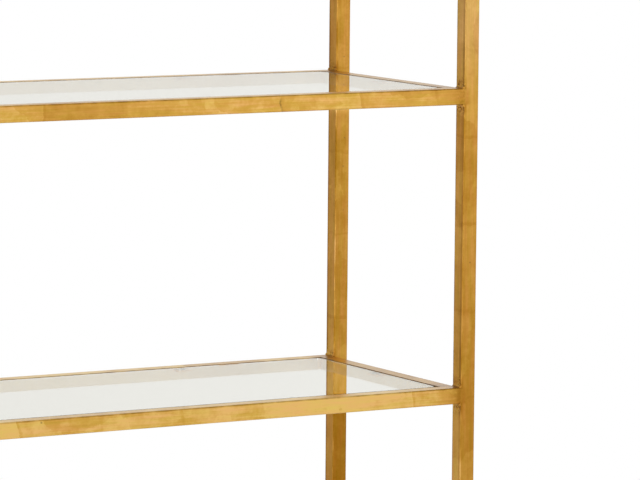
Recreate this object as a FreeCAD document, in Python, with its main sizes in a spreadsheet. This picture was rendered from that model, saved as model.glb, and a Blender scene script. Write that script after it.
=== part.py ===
import FreeCAD, Part

import os
import Sketcher
from FreeCAD import Placement, Rotation, Vector

# An open etagere: four square-tube posts, shelf frames of the same tube welded
# between them, and a loose glass pane let into each frame, flush with its rails.
# The origin is on the floor at the centre of the plan, +Z is up and the front
# faces -Y. The driving dimensions are in millimetres, apart from the shelf count.
DIMENSIONS = (
    ("width", 1118.0, "overall width, across the outer faces of the posts"),
    ("depth", 419.0, "overall depth, across the outer faces of the posts"),
    ("shelf_count", 5, "number of shelves"),
    ("shelf_pitch", 467.0, "from the top of one shelf to the top of the next"),
    ("first_shelf_top", 132.0, "top of the lowest shelf above the floor"),
    ("tube_size", 25.4, "outside of the square tube"),
    ("tube_wall", 1.5, "wall of the square tube"),
    ("tube_radius", 1.8, "radius of the tube's outer corners"),
    ("cap_thickness", 2.0, "plate that closes the upper end of a post"),
    ("glass_thickness", 6.35, "thickness of a pane"),
    ("glass_gap", 2.0, "from a pane's edge to the rail beside it"),
    ("glass_recess", 0.4, "from a rail's top down to the pane's top"),
    ("glass_corner", 12.0, "radius of a pane's corners in plan"),
    ("glass_arris", 0.6, "ground bevel along a pane's edges"),
    ("tab_length", 25.0, "a glass tab, along its rail"),
    ("tab_reach", 14.0, "a glass tab, out from its rail"),
    ("tab_thickness", 3.0, "thickness of a glass tab"),
    ("tab_spread", 500.0, "between the two tabs on a long rail"),
    ("bumper_diameter", 8.0, "clear bumper on a tab"),
    ("bumper_thickness", 1.2, "height of a clear bumper"),
    ("weld_leg", 4.0, "leg of a fillet weld"),
    ("flange_thickness", 2.0, "insert's flange, under a post's lower end"),
    ("plug_depth", 20.0, "insert's plug, up inside a post"),
    ("plug_fit", 0.1, "clearance between the plug and the tube's bore, each side"),
    ("stem_diameter", 8.0, "levelling foot's stem"),
    ("stem_length", 30.0, "stem above its hexagon"),
    ("stem_tip", 1.5, "taper at the stem's upper end"),
    ("stem_fit", 0.1, "clearance around the stem, each side"),
    ("hex_corners", 15.0, "stem's hexagon, across its corners"),
    ("hex_height", 5.0, "height of the hexagon"),
    ("pad_diameter", 22.0, "foot pad at the floor"),
    ("pad_shoulder", 17.0, "foot pad at the top of its taper"),
    ("pad_rim", 2.0, "straight rim at the bottom of the pad"),
    ("pad_height", 6.0, "height of the pad"),
    ("socket_depth", 3.0, "blind hole in the pad for the stem"),
)

X_AXIS = Vector(1, 0, 0)
Y_AXIS = Vector(0, 1, 0)
Z_AXIS = Vector(0, 0, 1)

# Turns a cylinder's own Z axis to lie along the axis of the key.
TURNED_TO = {
    "x": Rotation(Y_AXIS, 90),
    "y": Rotation(X_AXIS, -90),
    "z": Rotation(),
}

SIDES = {"left": -1, "right": 1}
FACES = {"front": -1, "back": 1}

# Edges this close to the outermost one count as outermost.
SAME_PLACE = 0.01

# Half the size that a sketch is first drawn at, before its sizes are bound.
FIRST_DRAWN = 9.0

# Expressions over the sheet, used wherever a piece meets another.
TUBE_BORE = "(dims.tube_size - 2 * dims.tube_wall)"
TUBE_FLAT = "(dims.tube_size - 2 * dims.tube_radius)"
POST_X = "(dims.width / 2 - dims.tube_size / 2)"
POST_Y = "(dims.depth / 2 - dims.tube_size / 2)"
POST_INNER_X = "(dims.width / 2 - dims.tube_size)"
POST_OUTER_Y = "(dims.depth / 2)"
SIDE_RAIL_X = "(dims.width / 2 - 1.5 * dims.tube_size)"
SIDE_INNER_X = "(dims.width / 2 - 2 * dims.tube_size)"
RAIL_INNER_Y = "(dims.depth / 2 - dims.tube_size)"
LONG_RAIL_LENGTH = f"(2 * {POST_INNER_X})"
SIDE_RAIL_LENGTH = f"(2 * {RAIL_INNER_Y})"
PANE_LENGTH = f"(2 * {SIDE_INNER_X} - 2 * dims.glass_gap)"
PANE_WIDTH = f"(2 * {RAIL_INNER_Y} - 2 * dims.glass_gap)"
PANE_DROP = "(dims.glass_recess + dims.glass_thickness)"
TAB_DROP = f"({PANE_DROP} + dims.bumper_thickness)"
BUMPER_REACH = "((dims.glass_gap + dims.tab_reach) / 2)"
PLUG_SIZE = f"({TUBE_BORE} - 2 * dims.plug_fit)"
STEM_HOLE = "(dims.stem_diameter + 2 * dims.stem_fit)"
HEX_BOTTOM = "dims.pad_height"
HEX_TOP = "(dims.pad_height + dims.hex_height)"
POST_BOTTOM = f"({HEX_TOP} + dims.flange_thickness)"


def shelf_top(number):
    """Height of a shelf's upper face; the lowest shelf is number 1."""
    return f"(dims.first_shelf_top + {number - 1} * dims.shelf_pitch)"


def make_sheet():
    """The driving dimensions, one row each: meaning and value."""
    sheet = doc.addObject("Spreadsheet::Sheet", "dims")
    for row, (alias, value, meaning) in enumerate(DIMENSIONS, start=1):
        sheet.set(f"A{row}", meaning)
        sheet.set(f"B{row}", str(value))
        sheet.setAlias(f"B{row}", alias)
    doc.recompute()
    return sheet


def place(item, x="0", y="0", z="0"):
    """Bind the place of an object to expressions."""
    for axis, expression in (("x", x), ("y", y), ("z", z)):
        item.setExpression(f"Placement.Base.{axis}", expression)


def keep(item, label):
    """Name a finished sub-part and list it for export."""
    item.Label = label
    finished.append(item)


# Sketched bodies


def new_sketch(body, plane):
    """A sketch on one of the body's own origin planes."""
    sketch = body.newObject("Sketcher::SketchObject", "sketch")
    support = [item for item in body.Origin.OriginFeatures if item.Role == plane]
    sketch.AttachmentSupport = (support[0], [""])
    sketch.MapMode = "FlatFace"
    return sketch


def draw_rectangle(sketch, name, across, up):
    """A rectangle centred on the sketch's origin, with both sizes bound."""
    signs = ((-1, -1), (1, -1), (1, 1), (-1, 1))
    corners = [Vector(x * FIRST_DRAWN, y * FIRST_DRAWN, 0) for x, y in signs]
    lines = [
        sketch.addGeometry(Part.LineSegment(corners[side], corners[(side + 1) % 4]))
        for side in range(4)
    ]
    bottom, right, top, left = lines
    for this, following in zip(lines, lines[1:] + lines[:1]):
        sketch.addConstraint(Sketcher.Constraint("Coincident", this, 2, following, 1))
    for line in (bottom, top):
        sketch.addConstraint(Sketcher.Constraint("Horizontal", line))
    for line in (left, right):
        sketch.addConstraint(Sketcher.Constraint("Vertical", line))
    sketch.addConstraint(Sketcher.Constraint("Symmetric", bottom, 1, right, 2, -1, 1))
    for direction, line, expression in (("X", bottom, across), ("Y", right, up)):
        kind = f"Distance{direction}"
        index = sketch.addConstraint(Sketcher.Constraint(kind, line, 1, line, 2, 2 * FIRST_DRAWN))
        sketch.renameConstraint(index, name + direction)
        sketch.setExpression(f"Constraints.{name}{direction}", expression)


def draw_circle(sketch, name, diameter):
    """A circle on the sketch's origin, with its diameter bound."""
    circle = sketch.addGeometry(Part.Circle(Vector(), Z_AXIS, FIRST_DRAWN))
    sketch.addConstraint(Sketcher.Constraint("Coincident", circle, 3, -1, 1))
    index = sketch.addConstraint(Sketcher.Constraint("Diameter", circle, 2 * FIRST_DRAWN))
    sketch.renameConstraint(index, name)
    sketch.setExpression(f"Constraints.{name}", diameter)


def add_pad(body, sketch, length, side_type="One side", reverse=False):
    """Extrude a sketch of the body."""
    pad = body.newObject("PartDesign::Pad", "pad")
    pad.Profile = sketch
    pad.SideType = side_type
    pad.Reversed = reverse
    pad.setExpression("Length", length)
    body.Tip = pad
    doc.recompute()
    return pad


def outer_edges(shape, axis):
    """Names of the straight edges along the axis that lie furthest from it."""
    distances = {}
    for number, edge in enumerate(shape.Edges, start=1):
        point = edge.CenterOfMass
        if isinstance(edge.Curve, Part.Line) and edge.Curve.Direction.isParallel(axis, SAME_PLACE):
            distances[f"Edge{number}"] = (point - axis * point.dot(axis)).Length
    furthest = max(distances.values())
    return [name for name, distance in distances.items() if distance > furthest - SAME_PLACE]


def rim_edges(shape, axis):
    """Names of the edges that lie square to the axis."""
    names = []
    for number, edge in enumerate(shape.Edges, start=1):
        heights = [vertex.Point.dot(axis) for vertex in edge.Vertexes]
        if max(heights) - min(heights) < SAME_PLACE:
            names.append(f"Edge{number}")
    return names


def dress(body, kind, size_name, edges, size):
    """Fillet or chamfer named edges of the body's last feature."""
    base = body.Tip
    feature = body.newObject(f"PartDesign::{kind}", kind.lower())
    feature.Base = (base, edges)
    feature.setExpression(size_name, size)
    body.Tip = feature
    doc.recompute()
    return feature


def make_tube(label, plane, axis, length, x, y, z):
    """A length of square tube, centred on a point, with rounded outer corners."""
    body = doc.addObject("PartDesign::Body", label)
    section = new_sketch(body, plane)
    draw_rectangle(section, "outside", "dims.tube_size", "dims.tube_size")
    draw_rectangle(section, "bore", TUBE_BORE, TUBE_BORE)
    pad = add_pad(body, section, length, side_type="Symmetric")
    dress(body, "Fillet", "Radius", outer_edges(pad.Shape, axis), "dims.tube_radius")
    place(body, x, y, z)
    keep(body, label)


# Posts and what closes their ends


def make_post(corner, x, y):
    """A post, from its foot to the cap plate."""
    top = f"({shelf_top(shelf_count)} - dims.cap_thickness)"
    make_tube(
        f"post_{corner}", "XY_Plane", Z_AXIS,
        f"{top} - {POST_BOTTOM}", x, y, f"({top} + {POST_BOTTOM}) / 2",
    )


def make_cap(corner, x, y):
    """The plate welded over a post's upper end, level with the top shelf."""
    label = f"post_cap_{corner}"
    body = doc.addObject("PartDesign::Body", label)
    outline = new_sketch(body, "XY_Plane")
    draw_rectangle(outline, "plate", "dims.tube_size", "dims.tube_size")
    pad = add_pad(body, outline, "dims.cap_thickness", reverse=True)
    dress(body, "Fillet", "Radius", outer_edges(pad.Shape, Z_AXIS), "dims.tube_radius")
    place(body, x, y, shelf_top(shelf_count))
    keep(body, label)


def make_insert(corner, x, y):
    """The threaded insert: a plug up inside the post and a flange under its end."""
    label = f"threaded_insert_{corner}"
    body = doc.addObject("PartDesign::Body", label)
    flange = new_sketch(body, "XY_Plane")
    draw_rectangle(flange, "flange", "dims.tube_size", "dims.tube_size")
    draw_circle(flange, "hole", STEM_HOLE)
    pad = add_pad(body, flange, "dims.flange_thickness", reverse=True)
    dress(body, "Fillet", "Radius", outer_edges(pad.Shape, Z_AXIS), "dims.tube_radius")
    plug = new_sketch(body, "XY_Plane")
    draw_rectangle(plug, "plug", PLUG_SIZE, PLUG_SIZE)
    draw_circle(plug, "hole", STEM_HOLE)
    add_pad(body, plug, "dims.plug_depth")
    place(body, x, y, POST_BOTTOM)
    keep(body, label)


# Levelling feet


def make_cylinder(diameter, height, x, y, z):
    """An upright cylinder with its size and place bound."""
    cylinder = doc.addObject("Part::Cylinder", "cylinder")
    cylinder.setExpression("Radius", f"{diameter} / 2")
    cylinder.setExpression("Height", height)
    place(cylinder, x, y, z)
    return cylinder


def make_cone(lower, upper, height, x, y, z):
    """An upright cone frustum, by its lower and upper diameters."""
    cone = doc.addObject("Part::Cone", "cone")
    cone.setExpression("Radius1", f"{lower} / 2")
    cone.setExpression("Radius2", f"{upper} / 2")
    cone.setExpression("Height", height)
    place(cone, x, y, z)
    return cone


def make_stem(corner, x, y):
    """The foot's stem, with its hexagon and a tapered upper end."""
    hexagon = doc.addObject("Part::Prism", "hexagon")
    hexagon.Polygon = 6
    hexagon.setExpression("Circumradius", "dims.hex_corners / 2")
    hexagon.setExpression("Height", "dims.hex_height")
    place(hexagon, x, y, HEX_BOTTOM)
    bottom = f"({HEX_BOTTOM} - dims.socket_depth)"
    shank_top = f"({HEX_TOP} + dims.stem_length - dims.stem_tip)"
    shank = make_cylinder("dims.stem_diameter", f"{shank_top} - {bottom}", x, y, bottom)
    tip_diameter = "(dims.stem_diameter - 2 * dims.stem_tip)"
    tip = make_cone("dims.stem_diameter", tip_diameter, "dims.stem_tip", x, y, shank_top)
    stem = doc.addObject("Part::MultiFuse", "stem")
    stem.Shapes = [hexagon, shank, tip]
    keep(stem, f"leveller_stem_{corner}")


def make_pad(corner, x, y):
    """The foot's round pad, with a blind socket that the stem stands in."""
    rim = make_cylinder("dims.pad_diameter", "dims.pad_rim", x, y, "0")
    taper_height = "dims.pad_height - dims.pad_rim"
    taper = make_cone(
        "dims.pad_diameter", "dims.pad_shoulder", taper_height, x, y, "dims.pad_rim"
    )
    solid = doc.addObject("Part::MultiFuse", "solid")
    solid.Shapes = [rim, taper]
    socket_bottom = "dims.pad_height - dims.socket_depth"
    socket = make_cylinder(STEM_HOLE, "dims.socket_depth", x, y, socket_bottom)
    pad = doc.addObject("Part::Cut", "pad")
    pad.Base = solid
    pad.Tool = socket
    keep(pad, f"leveller_pad_{corner}")


# Shelf frames


def make_rails(number):
    """The four rails of a shelf: long ones post to post, short ones between them."""
    height = f"{shelf_top(number)} - dims.tube_size / 2"
    for face, sign in FACES.items():
        make_tube(
            f"shelf_{number}_{face}_rail", "YZ_Plane", X_AXIS,
            LONG_RAIL_LENGTH, "0", f"{sign} * {POST_Y}", height,
        )
    for side, sign in SIDES.items():
        make_tube(
            f"shelf_{number}_{side}_rail", "XZ_Plane", Y_AXIS,
            SIDE_RAIL_LENGTH, f"{sign} * {SIDE_RAIL_X}", "0", height,
        )


def make_cove(along, start, length, corners, leg):
    """A cove in the corner between two faces: a square bar less a round one.

    corners gives, for each of the two axes across the bar, where the corner is
    and on which side of it the cove lies.
    """
    lowest = {along: start}
    centre = {along: start}
    sizes = {along: length}
    for axis, (corner, side) in corners.items():
        lowest[axis] = corner if side > 0 else f"{corner} - {leg}"
        centre[axis] = f"{corner} + {side} * {leg}"
        sizes[axis] = leg
    bar = doc.addObject("Part::Box", "bar")
    for axis, size_name in (("x", "Length"), ("y", "Width"), ("z", "Height")):
        bar.setExpression(size_name, sizes[axis])
    place(bar, **lowest)
    hollow = doc.addObject("Part::Cylinder", "hollow")
    hollow.setExpression("Radius", leg)
    hollow.setExpression("Height", length)
    hollow.Placement = Placement(Vector(), TURNED_TO[along])
    place(hollow, **centre)
    cove = doc.addObject("Part::Cut", "cove")
    cove.Base = bar
    cove.Tool = hollow
    return cove


def corner_welds(number, side, face):
    """The welds at one corner of a shelf; side and face are -1 or 1.

    Fillets stand in the open corners. Fillers make the grooves that the tube's
    rounded corners leave level with the flat faces.
    """
    top = shelf_top(number)
    bottom = f"({top} - dims.tube_size)"
    flat_bottom = f"{bottom} + dims.tube_radius"
    post_x = f"{side} * {POST_INNER_X}"
    side_rail_x = f"{side} * {SIDE_INNER_X}"
    rail_y = f"{face} * {RAIL_INNER_Y}"
    outer_y = f"{face} * {POST_OUTER_Y}"
    across_post = f"{face} * {POST_Y} - {TUBE_FLAT} / 2"
    across_rail = f"{side} * {SIDE_RAIL_X} - {TUBE_FLAT} / 2"
    under_rail = {"x": (post_x, -side), "z": (bottom, -1)}
    above_rail = {"x": (post_x, -side), "z": (top, 1)}
    beside_post = {"x": (post_x, side), "y": (rail_y, -face)}
    post_groove = {"x": (post_x, side), "y": (outer_y, -face)}
    upper_groove = {"y": (rail_y, face), "z": (top, -1)}
    lower_groove = {"y": (rail_y, face), "z": (bottom, 1)}
    under_pane = {"x": (side_rail_x, -side), "y": (rail_y, -face)}
    under_pane_length = f"dims.tube_size - dims.tube_radius - {TAB_DROP}"
    welds = [
        make_cove("y", across_post, TUBE_FLAT, under_rail, "dims.weld_leg"),
        make_cove("z", flat_bottom, TUBE_FLAT, beside_post, "dims.weld_leg"),
        make_cove("z", flat_bottom, under_pane_length, under_pane, "dims.weld_leg"),
        make_cove("z", flat_bottom, TUBE_FLAT, post_groove, "dims.tube_radius"),
        make_cove("x", across_rail, TUBE_FLAT, upper_groove, "dims.tube_radius"),
        make_cove("x", across_rail, TUBE_FLAT, lower_groove, "dims.tube_radius"),
    ]
    if number < shelf_count:
        welds.append(make_cove("y", across_post, TUBE_FLAT, above_rail, "dims.weld_leg"))
    return welds


def make_welds(number):
    """All the welds of a shelf, as one node of separate beads."""
    beads = []
    for side in SIDES.values():
        for face in FACES.values():
            beads += corner_welds(number, side, face)
    welds = doc.addObject("Part::Compound", "welds")
    welds.Links = beads
    keep(welds, f"shelf_{number}_welds")


# Panes and what they lie on


def tab_places():
    """Where each tab leaves its rail: x, y and the direction out of the rail."""
    places = []
    for face in FACES.values():
        for side in SIDES.values():
            places.append((f"{side} * dims.tab_spread / 2", f"{face} * {RAIL_INNER_Y}", 0, -face))
    for side in SIDES.values():
        places.append((f"{side} * {SIDE_INNER_X}", "0", -side, 0))
    return places


def make_tabs(number):
    """The steel tabs welded inside a frame, as one node of separate plates."""
    plates = []
    for x, y, toward_x, toward_y in tab_places():
        plate = doc.addObject("Part::Box", "plate")
        along_x, along_y = abs(toward_y), abs(toward_x)
        length = f"{along_x} * dims.tab_length + {along_y} * dims.tab_reach"
        width = f"{along_y} * dims.tab_length + {along_x} * dims.tab_reach"
        plate.setExpression("Length", length)
        plate.setExpression("Width", width)
        plate.setExpression("Height", "dims.tab_thickness")
        place(
            plate,
            f"{x} + {toward_x} * dims.tab_reach / 2 - ({length}) / 2",
            f"{y} + {toward_y} * dims.tab_reach / 2 - ({width}) / 2",
            f"{shelf_top(number)} - {TAB_DROP} - dims.tab_thickness",
        )
        plates.append(plate)
    tabs = doc.addObject("Part::Compound", "tabs")
    tabs.Links = plates
    keep(tabs, f"shelf_{number}_glass_tabs")


def make_bumpers():
    """The clear bumpers under all the panes, one on each tab."""
    dots = []
    for number in range(1, shelf_count + 1):
        for x, y, toward_x, toward_y in tab_places():
            dots.append(
                make_cylinder(
                    "dims.bumper_diameter", "dims.bumper_thickness",
                    f"{x} + {toward_x} * {BUMPER_REACH}",
                    f"{y} + {toward_y} * {BUMPER_REACH}",
                    f"{shelf_top(number)} - {TAB_DROP}",
                )
            )
    bumpers = doc.addObject("Part::Compound", "bumpers")
    bumpers.Links = dots
    keep(bumpers, "glass_bumpers")


def make_pane(number):
    """A glass pane with rounded corners and bevelled edges."""
    label = f"shelf_{number}_glass"
    body = doc.addObject("PartDesign::Body", label)
    outline = new_sketch(body, "XY_Plane")
    draw_rectangle(outline, "pane", PANE_LENGTH, PANE_WIDTH)
    pad = add_pad(body, outline, "dims.glass_thickness")
    rounded = dress(
        body, "Fillet", "Radius", outer_edges(pad.Shape, Z_AXIS), "dims.glass_corner"
    )
    dress(body, "Chamfer", "Size", rim_edges(rounded.Shape, Z_AXIS), "dims.glass_arris")
    place(body, z=f"{shelf_top(number)} - {PANE_DROP}")
    keep(body, label)


# Checks and export


def check_document():
    """Stop if any object failed to build or any sub-part has no sound shape."""
    for item in doc.Objects:
        if "Invalid" in item.State or "Error" in item.State:
            raise RuntimeError(f"{item.Label} failed: {item.State}")
    for item in finished:
        if item.Shape.isNull() or not item.Shape.isValid() or not item.Shape.Solids:
            raise RuntimeError(f"{item.Label} has no sound shape")


def export_parts():
    """Write each sub-part to a file with its name."""
    os.makedirs("parts", exist_ok=True)
    for item in finished:
        item.Shape.exportStep(f"parts/{item.Label}.step")


doc = FreeCAD.newDocument("etagere")
finished = []
shelf_count = int(make_sheet().shelf_count)

for side_name, side_sign in SIDES.items():
    for face_name, face_sign in FACES.items():
        corner_name = f"{face_name}_{side_name}"
        corner_place = (f"{side_sign} * {POST_X}", f"{face_sign} * {POST_Y}")
        make_post(corner_name, *corner_place)
        make_cap(corner_name, *corner_place)
        make_insert(corner_name, *corner_place)
        make_stem(corner_name, *corner_place)
        make_pad(corner_name, *corner_place)

for shelf_number in range(1, shelf_count + 1):
    make_rails(shelf_number)
    make_welds(shelf_number)
    make_tabs(shelf_number)
    make_pane(shelf_number)
make_bumpers()

doc.recompute()
check_document()
export_parts()

for item in finished:
    solids = len(item.Shape.Solids)
    print(f"{item.Label}: {solids} solid(s), {item.Shape.Volume / 1000:.2f} cm3")
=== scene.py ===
"""Dresses the etagere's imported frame: gold leaf, glass, weld beads and levelling feet, on a pale stage."""

import math
import random
from functools import partial

import bpy
from mathutils import Matrix, Vector


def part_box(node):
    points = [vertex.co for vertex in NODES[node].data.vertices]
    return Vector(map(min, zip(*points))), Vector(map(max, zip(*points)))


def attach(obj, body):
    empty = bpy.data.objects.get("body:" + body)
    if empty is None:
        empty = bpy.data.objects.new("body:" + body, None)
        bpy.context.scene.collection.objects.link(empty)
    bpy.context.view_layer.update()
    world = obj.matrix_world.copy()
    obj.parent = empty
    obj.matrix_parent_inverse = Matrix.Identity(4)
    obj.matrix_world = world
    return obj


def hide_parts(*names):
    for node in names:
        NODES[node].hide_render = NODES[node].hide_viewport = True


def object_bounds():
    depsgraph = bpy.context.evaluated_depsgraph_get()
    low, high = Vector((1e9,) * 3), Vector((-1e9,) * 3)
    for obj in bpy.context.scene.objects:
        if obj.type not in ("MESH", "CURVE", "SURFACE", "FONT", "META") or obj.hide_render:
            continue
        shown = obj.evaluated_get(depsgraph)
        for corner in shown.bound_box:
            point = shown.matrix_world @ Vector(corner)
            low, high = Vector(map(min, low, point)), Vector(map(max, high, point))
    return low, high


bl_info = {
    "name": "Gilded Etagere",
    "version": (1, 0, 0),
    "blender": (4, 5, 0),
    "location": "View3D > Sidebar > Etagere",
    "description": "Gilds and glazes the frame of a tall open etagere, and stages it",
    "category": "Object",
}

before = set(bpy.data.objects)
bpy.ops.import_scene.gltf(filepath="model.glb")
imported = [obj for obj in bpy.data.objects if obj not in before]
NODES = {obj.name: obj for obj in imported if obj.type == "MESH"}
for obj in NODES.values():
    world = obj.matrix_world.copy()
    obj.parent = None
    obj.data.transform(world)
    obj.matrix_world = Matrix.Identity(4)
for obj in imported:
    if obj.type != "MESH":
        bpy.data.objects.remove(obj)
CAD_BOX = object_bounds()

MM = 0.001
CORNERS = {"front_left": (-1, -1), "front_right": (1, -1), "back_left": (-1, 1), "back_right": (1, 1)}
SHELVES = (1, 2, 3, 4, 5)

# Places that the pieces below share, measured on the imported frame, in metres.
POST_LOW, POST_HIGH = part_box("post_front_right")
POST_X = (POST_LOW.x + POST_HIGH.x) / 2
POST_Y = -(POST_LOW.y + POST_HIGH.y) / 2
HALF_TUBE = (POST_HIGH.x - POST_LOW.x) / 2
SIDE_X = sum(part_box("shelf_1_right_rail")[k].x for k in (0, 1)) / 2
SHELF_TOP = {k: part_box(f"shelf_{k}_front_rail")[1].z for k in SHELVES}
SHELF_PITCH = SHELF_TOP[2] - SHELF_TOP[1]
# How far the tabs on a long rail are from its middle.
TAB_X = 0.25

# In millimetres, for the gilding: half a tube, the posts' inner faces, and the frame's front.
HALF = HALF_TUBE / MM
INSIDE = (POST_X - HALF_TUBE) / MM
FRONT = (POST_Y + HALF_TUBE) / MM
# A face begins to count as facing up at the first height of its normal, and fully does at the second.
FACING_UP = (0.6, 0.9)


def linear(hex_colour):
    """An sRGB hex colour as linear red, green and blue."""
    parts = [int(hex_colour[k : k + 2], 16) / 255 for k in (0, 2, 4)]
    return [c / 12.92 if c <= 0.04045 else ((c + 0.055) / 1.055) ** 2.4 for c in parts]


# ---- settings


def colour(name, description, hex_colour):
    """A colour that can be set."""
    return bpy.props.FloatVectorProperty(
        name=name, description=description, subtype="COLOR", size=3, min=0, max=1, default=linear(hex_colour)
    )


def length(name, description, millimetres):
    """A length that can be set."""
    return bpy.props.FloatProperty(
        name=name, description=description, subtype="DISTANCE", min=0, default=millimetres * MM
    )


class LeafSettings(bpy.types.PropertyGroup):
    """Gold leaf on steel tube, under an amber lacquer."""

    pale: colour("Pale leaf", "Leaf under the thinnest lacquer", "FFD481")
    gold: colour("Gold leaf", "Leaf under an even coat of lacquer", "E9B65A")
    amber: colour("Amber", "Leaf where the lacquer has pooled", "CB9237")
    deep: colour("Deep amber", "Leaf under the heaviest toning", "AA7110")
    bole: colour("Bole", "Red-brown clay that shows in specks through the leaf", "6E4420")
    patina: colour("Patina", "Dark olive brown in joints, cracks and edges", "54390E")
    rose: colour("Rose cast", "Tint of the lacquer where it runs red", "FFF5F8")
    olive: colour("Olive cast", "Tint of the lacquer where it runs green", "FAFFE4")
    # The paint colour is also what the painted sheen on the front posts' upper part pales towards.
    paint: colour("Paint", "Pale gold paint on the faces round the glass", "D9CFB2")
    leaf_pitch: length("Leaf pitch", "Distance from one leaf's lap to the next", 136)
    lap_width: length("Lap", "How far one leaf lies over the last", 5)


class GlassSettings(bpy.types.PropertyGroup):
    """Clear float glass with ground edges."""

    tint: colour("Tint", "Colour that a long way through the glass takes on", "C8E6D6")
    density: bpy.props.FloatProperty(
        name="Density", description="How strongly the glass takes its tint, per metre", min=0, default=7
    )


class WeldSettings(bpy.types.PropertyGroup):
    """Hand-laid weld beads at the joints of the tubes."""

    leg: length("Leg", "Width of a fillet bead on each face", 5.2)
    ripple: length("Ripple", "Distance from one ripple of a bead to the next", 2.3)
    voxel: length("Voxel", "Fineness of the beads' mesh", 0.6)


class FootSettings(bpy.types.PropertyGroup):
    """Screw-in levelling feet."""

    thread_pitch: length("Thread pitch", "Rise of the foot for each turn", 1.25)
    thread_depth: length("Thread depth", "Depth of the thread's groove", 0.7)
    steel: colour("Zinc", "Bright zinc plating on the stems", "B9BBBC")
    nylon: colour("Nylon", "Black nylon of the pads and inserts", "1B1B1C")
    vinyl: colour("Vinyl", "Clear vinyl of the bumpers under the glass", "E9ECE8")


class StageSettings(bpy.types.PropertyGroup):
    """Floor and lights."""

    floor: colour("Floor", "Pale studio floor", "F1F1EF")
    key_power: bpy.props.FloatProperty(
        name="Power", description="Power that each softbox has a share of", unit="POWER", min=0, default=90
    )


# ---- materials


# The setting that a kind of node may be given after its name, as in Math.MULTIPLY.
MODES = {"Math": "operation", "VectorMath": "operation", "MapRange": "interpolation_type", "Mix": "data_type"}
# A range that eases in and out at its ends.
SMOOTH = "MapRange.SMOOTHSTEP"


def add_node(tree, kind, *values, sockets=None, stops=(), **settings):
    """Adds a shader node with its settings and links.

    Values fill its sockets in order, and sockets names others. A node or a socket among them is linked.
    stops are a colour ramp's places and colours.
    """
    kind, _, mode = kind.partition(".")
    node = tree.nodes.new("ShaderNode" + kind)
    if mode:
        settings[MODES[kind]] = mode
    for key, value in settings.items():
        setattr(node, key, value)
    for _ in stops[2:]:
        node.color_ramp.elements.new(0.5)
    for number, (position, tone) in enumerate(stops):
        element = node.color_ramp.elements[number]
        element.position, element.color = position, rgba(tone)
    enabled = [s for s in node.inputs if s.enabled]
    filled = list(zip(enabled, values))
    for name, value in (sockets or {}).items():
        filled.append((next(s for s in enabled if s.name == name), value))
    for socket, value in filled:
        if isinstance(value, bpy.types.Node):
            value = next(s for s in value.outputs if s.enabled)
        if isinstance(value, bpy.types.NodeSocket):
            tree.links.new(value, socket)
        else:
            socket.default_value = value
    return node


def open_tree(owner):
    """Empties the node tree of a material, world or light, and gives the call that adds a node to it."""
    owner.use_nodes = True
    owner.node_tree.nodes.clear()
    return partial(add_node, owner.node_tree)


def new_material(name):
    """A material, the call that adds a node to it, and the place of a point on the object, in metres."""
    material = bpy.data.materials.new(name)
    put = open_tree(material)
    return material, put, put("TexCoord").outputs["Object"]


def rgba(three):
    return (*three, 1.0)


WHITE = rgba((1, 1, 1))


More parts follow.
